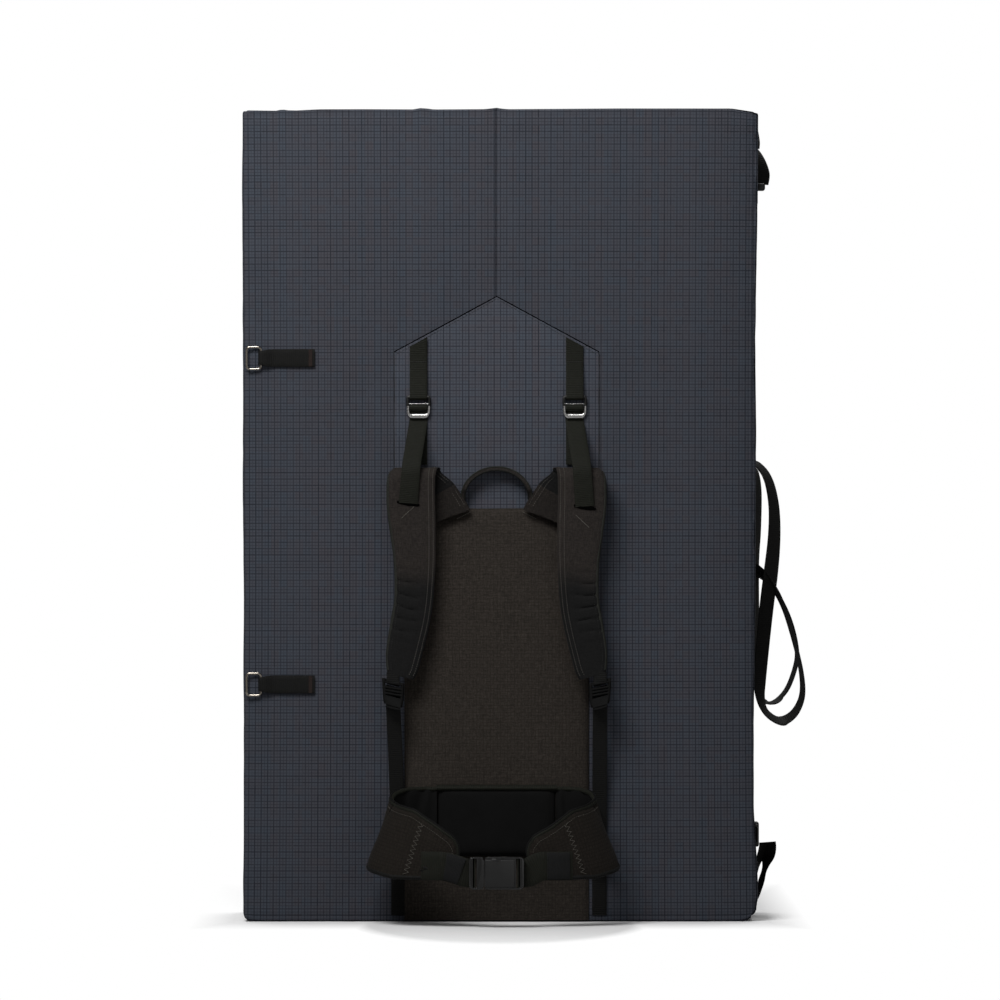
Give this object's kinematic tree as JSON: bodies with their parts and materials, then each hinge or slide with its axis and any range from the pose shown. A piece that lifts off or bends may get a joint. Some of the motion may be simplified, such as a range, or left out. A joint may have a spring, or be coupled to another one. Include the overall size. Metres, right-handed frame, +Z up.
{
  "type": "bouldering crash pad",
  "caption": "Folding foam landing pad, closed, with a carrying harness of shoulder straps and a buckled hip belt, lash rings, carry handles and hooked closure straps.",
  "frame": {"origin": "middle of the standing end of the back half, the half that carries the harness", "axes": "+Z up along the pad's height, -Y out of the harness side, -X towards the fold"},
  "size_m": [0.7191, 0.357, 1.0422],
  "materials": {
    "back_carry_handle": "black webbing",
    "back_core_foam": "open-cell foam, matte",
    "back_cover": "slate ripstop with a fine grid weave, matte",
    "back_landing_foam": "closed-cell foam, matte",
    "back_zip": "coil zip and tape",
    "back_zip_slider": "black enamel",
    "buckle_plug": "glossy",
    "buckle_socket": "glossy",
    "chevron_panel": "slate ripstop, second layer",
    "front_carry_handle": "black webbing",
    "front_core_foam": "open-cell foam, matte",
    "front_cover": "slate ripstop with a fine grid weave, matte",
    "front_landing_foam": "closed-cell foam, matte",
    "front_zip": "coil zip and tape",
    "front_zip_slider": "black enamel",
    "harness_panel": "brown-black melange fabric",
    "haul_handle": "black webbing",
    "hinge_fabric": "slate ripstop",
    "left_adjust_webbing": "black webbing",
    "left_belt_webbing": "olive and grey webbing",
    "left_belt_wing": "brown melange fabric over foam, stitched",
    "left_ladder_lock": "moulded, satin",
    "left_lifter_buckle": "worn steel",
    "left_lifter_strap": "dark olive webbing",
    "left_lifter_webbing": "dark olive webbing",
    "left_shoulder_strap": "brown-black melange fabric over foam",
    "left_strap_loop": "black webbing",
    "left_strap_yoke": "brown-black melange fabric over foam",
    "lower_closure_anchor": "black webbing",
    "lower_closure_bar": "dark enamel",
    "lower_closure_hook": "dark enamel",
    "lower_closure_strap": "black webbing",
    "lower_closure_tail": "black webbing, limp",
    "lower_prong": "glossy",
    "lower_ring": "polished wire",
    "lower_ring_tab": "black webbing with a bar-tack",
    "lumbar_pad": "smooth black fabric over foam",
    "right_adjust_webbing": "black webbing",
    "right_belt_webbing": "olive and grey webbing",
    "right_belt_wing": "brown melange fabric over foam, stitched",
    "right_ladder_lock": "moulded, satin",
    "right_lifter_buckle": "worn steel",
    "right_lifter_strap": "dark olive webbing",
    "right_lifter_webbing": "dark olive webbing",
    "right_shoulder_strap": "brown-black melange fabric over foam",
    "right_strap_loop": "black webbing",
    "right_strap_yoke": "brown-black melange fabric over foam",
    "upper_closure_anchor": "black webbing",
    "upper_closure_bar": "dark enamel",
    "upper_closure_hook": "dark enamel",
    "upper_closure_strap": "black webbing",
    "upper_closure_tail": "black webbing, limp",
    "upper_prong": "glossy",
    "upper_ring": "polished wire",
    "upper_ring_tab": "black webbing with a bar-tack"
  },
  "bodies": {
    "back_half": {"back_cover": "back_cover", "back_core_foam": "back_core_foam", "back_landing_foam": "back_landing_foam", "back_zip": "back_zip", "hinge_fabric": "hinge_fabric", "harness_panel": "harness_panel", "chevron_panel": "chevron_panel", "left_strap_yoke": "left_strap_yoke", "right_strap_yoke": "right_strap_yoke", "left_lifter_webbing": "left_lifter_webbing", "right_lifter_webbing": "right_lifter_webbing", "left_lifter_strap": "left_lifter_strap", "right_lifter_strap": "right_lifter_strap", "left_adjust_webbing": "left_adjust_webbing", "right_adjust_webbing": "right_adjust_webbing", "lumbar_pad": "lumbar_pad", "left_belt_wing": "left_belt_wing", "right_belt_wing": "right_belt_wing", "left_belt_webbing": "left_belt_webbing", "right_belt_webbing": "right_belt_webbing", "buckle_socket": "buckle_socket", "upper_ring_tab": "upper_ring_tab", "lower_ring_tab": "lower_ring_tab", "upper_closure_anchor": "upper_closure_anchor", "lower_closure_anchor": "lower_closure_anchor", "upper_closure_bar": "upper_closure_bar", "lower_closure_bar": "lower_closure_bar"},
    "front_half": {"front_cover": "front_cover", "front_core_foam": "front_core_foam", "front_landing_foam": "front_landing_foam", "front_zip": "front_zip", "upper_closure_strap": "upper_closure_strap", "lower_closure_strap": "lower_closure_strap", "upper_closure_tail": "upper_closure_tail", "lower_closure_tail": "lower_closure_tail"},
    "upper_ring": {"upper_ring": "upper_ring"},
    "lower_ring": {"lower_ring": "lower_ring"},
    "haul_handle": {"haul_handle": "haul_handle"},
    "left_shoulder_strap": {"left_shoulder_strap": "left_shoulder_strap", "left_strap_loop": "left_strap_loop"},
    "left_ladder_lock": {"left_ladder_lock": "left_ladder_lock"},
    "left_lifter_buckle": {"left_lifter_buckle": "left_lifter_buckle"},
    "right_shoulder_strap": {"right_shoulder_strap": "right_shoulder_strap", "right_strap_loop": "right_strap_loop"},
    "right_ladder_lock": {"right_ladder_lock": "right_ladder_lock"},
    "right_lifter_buckle": {"right_lifter_buckle": "right_lifter_buckle"},
    "buckle_plug": {"buckle_plug": "buckle_plug"},
    "upper_prong": {"upper_prong": "upper_prong"},
    "lower_prong": {"lower_prong": "lower_prong"},
    "back_carry_handle": {"back_carry_handle": "back_carry_handle"},
    "front_carry_handle": {"front_carry_handle": "front_carry_handle"},
    "upper_closure_hook": {"upper_closure_hook": "upper_closure_hook"},
    "lower_closure_hook": {"lower_closure_hook": "lower_closure_hook"},
    "back_zip_slider": {"back_zip_slider": "back_zip_slider"},
    "front_zip_slider": {"front_zip_slider": "front_zip_slider"}
  },
  "joints": [
    {"name": "fold", "type": "hinge", "parent": "back_half", "child": "front_half", "pos_m": [-0.329, 0.0515, 0], "axis": [0, 0, 1], "range_deg": [0, 180], "deforming": ["hinge_fabric"]},
    {"name": "upper_ring_swing", "type": "hinge", "parent": "back_half", "child": "upper_ring", "pos_m": [-0.3068, -0.0553, 0.721], "axis": [0, 0, 1], "range_deg": [0, 150]},
    {"name": "lower_ring_swing", "type": "hinge", "parent": "back_half", "child": "lower_ring", "pos_m": [-0.3068, -0.0553, 0.303], "axis": [0, 0, 1], "range_deg": [0, 150]},
    {"name": "haul_handle_swing", "type": "hinge", "parent": "back_half", "child": "haul_handle", "pos_m": [-0.005, -0.0607, 0.5303], "axis": [1, 0, 0], "range_deg": [0, 45]},
    {"name": "left_strap_swing", "type": "hinge", "parent": "back_half", "child": "left_shoulder_strap", "pos_m": [-0.114, -0.06367, 0.566], "axis": [-1, 0, 0], "range_deg": [0, 25], "deforming": ["left_adjust_webbing", "left_lifter_strap"]},
    {"name": "left_ladder_lock_tilt", "type": "hinge", "parent": "left_shoulder_strap", "child": "left_ladder_lock", "pos_m": [-0.137, -0.09067, 0.30801], "axis": [-0.9613, 0, 0.2756], "range_deg": [0, 25]},
    {"name": "left_lifter_buckle_tilt", "type": "hinge", "parent": "back_half", "child": "left_lifter_buckle", "pos_m": [-0.105, -0.06186, 0.672], "axis": [-1, 0, 0], "range_deg": [0, 25]},
    {"name": "right_strap_swing", "type": "hinge", "parent": "back_half", "child": "right_shoulder_strap", "pos_m": [0.104, -0.06367, 0.566], "axis": [-1, 0, 0], "range_deg": [0, 25], "deforming": ["right_adjust_webbing", "right_lifter_strap"]},
    {"name": "right_ladder_lock_tilt", "type": "hinge", "parent": "right_shoulder_strap", "child": "right_ladder_lock", "pos_m": [0.127, -0.09067, 0.30801], "axis": [-0.9613, 0, -0.2756], "range_deg": [0, 25]},
    {"name": "right_lifter_buckle_tilt", "type": "hinge", "parent": "back_half", "child": "right_lifter_buckle", "pos_m": [0.095, -0.06186, 0.672], "axis": [-1, 0, 0], "range_deg": [0, 25]},
    {"name": "buckle_release", "type": "slide", "parent": "back_half", "child": "buckle_plug", "axis": [-1, 0, 0], "range_m": [0, 0.033], "deforming": ["left_belt_webbing"]},
    {"name": "upper_prong_flex", "type": "hinge", "parent": "buckle_plug", "child": "upper_prong", "pos_m": [-0.0205, -0.193, 0.08405], "axis": [0, 1, 0], "range_deg": [0, 5], "stiffness_Nm_per_rad": 2.9},
    {"name": "lower_prong_flex", "type": "hinge", "parent": "buckle_plug", "child": "lower_prong", "pos_m": [-0.0205, -0.193, 0.05595], "axis": [0, -1, 0], "range_deg": [0, 5], "stiffness_Nm_per_rad": 2.9},
    {"name": "back_handle_swing", "type": "hinge", "parent": "back_half", "child": "back_carry_handle", "pos_m": [0.32533, 0, 0.581], "axis": [0, 0, 1], "range_deg": [-6, 20]},
    {"name": "front_handle_swing", "type": "hinge", "parent": "front_half", "child": "front_carry_handle", "pos_m": [0.32533, 0.103, 0.581], "axis": [0, 0, 1], "range_deg": [-6, 20]},
    {"name": "upper_hook_swing", "type": "hinge", "parent": "front_half", "child": "upper_closure_hook", "pos_m": [0.3291, 0.0652, 0.936], "axis": [0, 0, 1], "range_deg": [0, 60]},
    {"name": "lower_hook_swing", "type": "hinge", "parent": "front_half", "child": "lower_closure_hook", "pos_m": [0.32907, 0.0652, 0.108], "axis": [0, 0, 1], "range_deg": [0, 60]},
    {"name": "back_zip_run", "type": "slide", "parent": "back_half", "child": "back_zip_slider", "axis": [1, 0, 0], "range_m": [0, 0.485]},
    {"name": "front_zip_run", "type": "slide", "parent": "front_half", "child": "front_zip_slider", "axis": [1, 0, 0], "range_m": [0, 0.485]}
  ]
}
